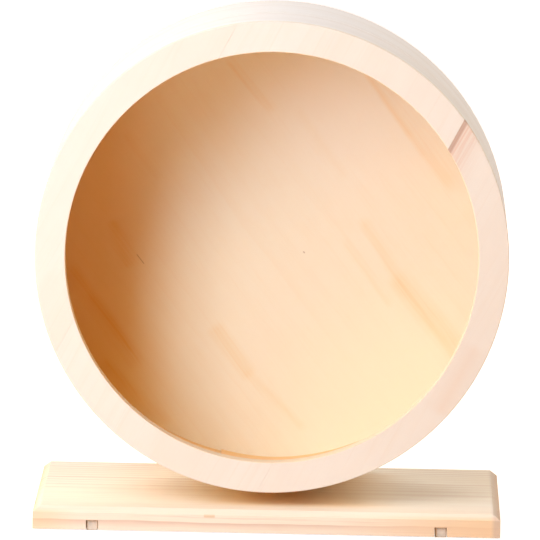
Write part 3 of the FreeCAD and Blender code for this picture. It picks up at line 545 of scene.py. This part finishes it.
coat("base_board", material=wood(
    "base_board", lambda tree: board_space(tree, LEVEL_GRAIN, (0.0, -0.045, -0.05)), *BOARD_COLOURS,
    ring_width=5.0, ring_strength=0.75, warp=6.0, seed=8.0, grain=LEVEL_GRAIN, end_colour=BOARD_END,
    extra=base_face))
coat("upright_board", material=wood(
    "upright_board", lambda tree: board_space(tree, POST_GRAIN, (0.01, 0.02, 0.0)), *BOARD_COLOURS,
    ring_width=3.2, ring_strength=0.45, seed=9.0, grain=POST_GRAIN, end_colour=BOARD_END))
coat("hub_block", material=wood(
    "hub_block", lambda tree: board_space(tree, LEVEL_GRAIN, (0.0, 0.09, 0.1)), *HUB_COLOURS,
    ring_width=3.2, seed=10.0, grain=LEVEL_GRAIN, end_colour=BOARD_END))
coat("upright_dowels", material=wood(
    "upright_dowels", lambda tree: board_space(tree, POST_GRAIN, (0.01, 0.09, 0.0)), *DOWEL_COLOURS,
    ring_width=1.6, seed=11.0))

EASED_EDGES = {
    # width and segments
    "base_board": (0.0004, 2),
    "upright_board": (0.0007, 3),
    "foot_strip_left": (0.0005, 2),
    "foot_strip_right": (0.0005, 2),
    "axle_washer": (0.0002, 2),
}
for eased, (width, segments) in EASED_EDGES.items():
    ease(eased, width, segments)


# Metal and foot strips


def two_tone(tree, mask, colour, share):
    """Colour that darkens to a share of itself where the mask is full."""
    return tree.tint(opaque(colour), [channel * share for channel in colour], mask)


def steel(name, colour, roughness):
    """Turned or plated steel, with fine machining lines across the axle and slight uneven shine."""
    tree = new_material(name)
    lines = tree.noise(tree.vector("MULTIPLY", tree.place(), (1500.0, 9000.0, 1500.0)), 1.0, 3.0, 0.6)["Fac"]
    clouds = tree.noise(tree.place(), 260.0, 3.0)["Fac"]
    tint = two_tone(tree, tree.remap(clouds, 0.3, 0.75), colour, 0.86)
    shine = tree.math("ADD", roughness, tree.times(tree.math("SUBTRACT", clouds, 0.5), 0.22))
    return tree.surface(tint, shine, lines, 0.08, 0.0001, {"Metallic": 1.0})


bearing_steel = steel("bearing_steel", (0.50, 0.50, 0.51), 0.22)
zinc_steel = steel("zinc_steel", (0.40, 0.41, 0.43), 0.32)
for end in ("front", "rear"):
    for piece in ("inner_ring", "outer_ring", "balls", "cage", "shields"):
        coat(f"{end}_bearing_{piece}", material=bearing_steel)
coat("axle_bolt", "axle_spacer", "axle_washer", "axle_nut", "bearing_retainer", "retainer_screws",
     "hub_screws", "upright_screws", material=zinc_steel)

NUT_BORE = 0.00402
NUT_COUNTERSINK = 0.0005
NUT_TURNED_SHARE = 0.965
NUT_CHAMFER_SLOPE = math.tan(math.radians(28))
NUT_STEPS = 144


def chamfered_nut(name, node):
    """Hexagon nut along Y with turned chamfers on both faces and a countersunk bore."""
    low, high = (Vector(corner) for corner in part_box(node))
    middle = (low + high) / 2
    half_flat = (high.x - low.x) / 2
    turned = half_flat * NUT_TURNED_SHARE
    mouth = NUT_BORE + NUT_COUNTERSINK
    rings = []
    for step in range(NUT_STEPS):
        angle = 2 * math.pi * step / NUT_STEPS
        hexagon = half_flat / math.cos((angle + math.pi / 6) % (math.pi / 3) - math.pi / 6)
        drop = max(hexagon - turned, 0.0) * NUT_CHAMFER_SLOPE
        profile = [
            (NUT_BORE, low.y + NUT_COUNTERSINK), (mouth, low.y), (turned, low.y), (hexagon, low.y + drop),
            (hexagon, high.y - drop), (turned, high.y), (mouth, high.y), (NUT_BORE, high.y - NUT_COUNTERSINK)]
        rings.append([
            (middle.x + reach * math.cos(angle), y, middle.z + reach * math.sin(angle))
            for reach, y in profile])
    made(name, *skin(rings, closed=True), zinc_steel, "stand", node, "zinc_steel")


chamfered_nut("lock_nut", "axle_nut")


def rubber(name, colour):
    """Matt cellular strip with a fine pitted skin."""
    tree = new_material(name)
    cells = tree.add("ShaderNodeTexVoronoi", {"Vector": tree.place(), "Scale": 1600.0}).outputs["Distance"]
    clouds = tree.noise(tree.place(), 300.0, 3.0)["Fac"]
    tint = two_tone(tree, tree.remap(clouds, 0.3, 0.7), colour, 0.82)
    shine = tree.remap(clouds, 0.3, 0.7, 0.75, 0.9)
    return tree.surface(tint, shine, cells, 0.3, 0.0002)


coat("foot_strip_left", "foot_strip_right", material=rubber("foot_rubber", (0.80, 0.71, 0.58)))

# Floor and world: white where they are seen, coloured where they only throw light back

FLOOR_HALF = 6.0
FLOOR_COLOUR = (0.74, 0.62, 0.50)
AMBIENT_COLOUR = (1.0, 0.32, 0.0)
AMBIENT_LEVEL = 0.31


def seen(tree):
    """One for rays from the camera, and for those off shiny surfaces or through clear ones."""
    rays = tree.add("ShaderNodeLightPath").outputs
    secondary = tree.math("MAXIMUM", rays["Is Glossy Ray"], rays["Is Transmission Ray"])
    return tree.math("MAXIMUM", rays["Is Camera Ray"], secondary)


def floor_material():
    """Floor that keeps the object's shadow and glows up to the white of the background away from it."""
    tree = new_material("floor")
    level = tree.times(seen(tree), tree.remap(tree.length(tree.place()), 0.15, 1.2, 0.84, 1.0))
    diffuse = tree.add("ShaderNodeBsdfDiffuse", {"Color": opaque(FLOOR_COLOUR)})
    glow = tree.add("ShaderNodeEmission", {"Color": grey(1.0), "Strength": level})
    return tree.finish(tree.add("ShaderNodeAddShader", {0: diffuse.outputs[0], 1: glow.outputs[0]}))


def studio_world():
    tree = Tree(bpy.data.worlds.new("studio"))
    ambient = tree.add("ShaderNodeBackground", {"Color": opaque(AMBIENT_COLOUR), "Strength": AMBIENT_LEVEL})
    backdrop = tree.add("ShaderNodeBackground", {"Color": grey(1.0)})
    choice = tree.add("ShaderNodeMixShader", {0: seen(tree), 1: ambient.outputs[0], 2: backdrop.outputs[0]})
    return tree.finish(choice, "ShaderNodeOutputWorld")


floor_mesh = bpy.data.meshes.new("floor")
floor_corners = [(x * FLOOR_HALF, y * FLOOR_HALF, 0) for x, y in ((-1, -1), (1, -1), (1, 1), (-1, 1))]
floor_mesh.from_pydata(floor_corners, [], [(0, 1, 2, 3)])
floor_mesh.materials.append(floor_material())
floor = bpy.data.objects.new("floor", floor_mesh)
bpy.context.scene.collection.objects.link(floor)
bpy.context.scene.world = studio_world()

# Lamps, aimed at the middle of the drum

MIDDLE = Vector((0.0, -0.01, 0.12))
LAMPS = [
    # name, degrees left of the front, degrees up, distance, width, height, level, colour
    ("key", 31, 20, 1.0, 0.36, 0.60, 0.83, (0.67, 0.82, 1.0)),
    ("high", 40, 52, 1.1, 0.5, 0.5, 0.28, (0.40, 0.60, 1.0)),
    ("front", 0, 52, 1.1, 0.5, 0.4, 0.14, (1.0, 0.80, 0.20)),
    ("left", 80, 14, 1.0, 0.40, 0.30, 0.40, (1.0, 0.78, 0.34)),
    ("left_low", 75, 5, 1.0, 0.5, 0.12, 0.26, (1.0, 0.24, 0.0)),
    ("right", -105, 33, 1.1, 0.5, 0.5, 0.47, (0.80, 0.95, 1.0)),
    ("rear", 158, 30, 1.4, 0.8, 0.8, 0.48, (0.82, 0.97, 1.0)),
]


def softbox(name, azimuth, elevation, distance, width, height, level, colour):
    """Rectangular area lamp that lights a surface facing it in the middle of the drum to the given level."""
    side, lift = math.radians(azimuth), math.radians(elevation)
    outward = Vector((-math.sin(side) * math.cos(lift), -math.cos(side) * math.cos(lift), math.sin(lift)))
    lamp = bpy.data.lights.new(name, "AREA")
    lamp.shape = "RECTANGLE"
    lamp.size = width
    lamp.size_y = height
    lamp.energy = level * math.pi ** 2 * distance ** 2
    lamp.color = colour
    holder = bpy.data.objects.new(name, lamp)
    holder.location = MIDDLE + outward * distance
    holder.rotation_euler = (-outward).to_track_quat("-Z", "Y").to_euler()
    bpy.context.scene.collection.objects.link(holder)


for lamp_settings in LAMPS:
    softbox(*lamp_settings)

# Camera, fitted to the photograph

PHOTO_PIXELS = 540
FOCAL_PIXELS = 9020
SENSOR_WIDTH = 36.0
CAMERA_DISTANCE = 4.043
CAMERA_CLIP_END = 30.0
PITCH, YAW, ROLL = (math.radians(angle) for angle in (7.27, 0.60, 1.11))
TARGET = Vector((-0.00125, 0.0, 0.10925))

forward = Vector((-math.sin(YAW) * math.cos(PITCH), math.cos(YAW) * math.cos(PITCH), -math.sin(PITCH)))
sideways = Vector((math.cos(YAW), math.sin(YAW), 0.0))
right = sideways * math.cos(ROLL) + sideways.cross(forward) * math.sin(ROLL)
camera_data = bpy.data.cameras.new("camera")
camera_data.sensor_width = SENSOR_WIDTH
camera_data.lens = SENSOR_WIDTH * FOCAL_PIXELS / PHOTO_PIXELS
camera_data.clip_end = CAMERA_CLIP_END
camera = bpy.data.objects.new("camera", camera_data)
bpy.context.scene.collection.objects.link(camera)
camera.matrix_world = Matrix.Translation(TARGET - forward * CAMERA_DISTANCE) @ Matrix(
    (right, right.cross(forward), -forward)).transposed().to_4x4()
bpy.context.scene.camera = camera
bpy.context.scene.view_settings.view_transform = "Standard"
